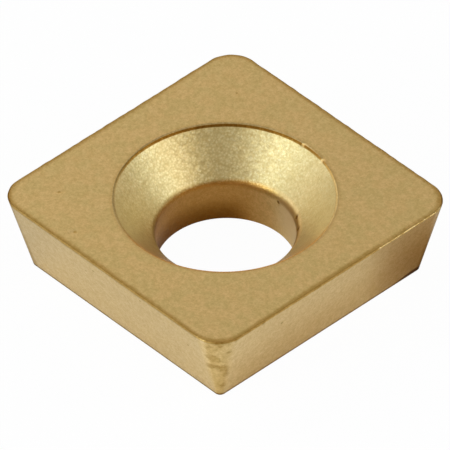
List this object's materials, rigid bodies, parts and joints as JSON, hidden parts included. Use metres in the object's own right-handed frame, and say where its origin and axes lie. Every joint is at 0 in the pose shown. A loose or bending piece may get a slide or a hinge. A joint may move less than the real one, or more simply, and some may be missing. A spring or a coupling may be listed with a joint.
{
  "type": "carbide insert",
  "caption": "Square indexable cutting insert with relieved flanks, rounded noses and a countersunk centre hole for its clamping screw.",
  "frame": {"origin": "centre of the seat face, on the axis of the screw's bore", "axes": "+Z along the bore from the seat face to the rake face; X and Y square to the four sides, so the noses point along the diagonals"},
  "size_m": [0.0126, 0.0126, 0.0036],
  "materials": {
    "nitride_coating": "satin"
  },
  "bodies": {
    "root": {"insert_body": "nitride_coating"}
  },
  "joints": []
}
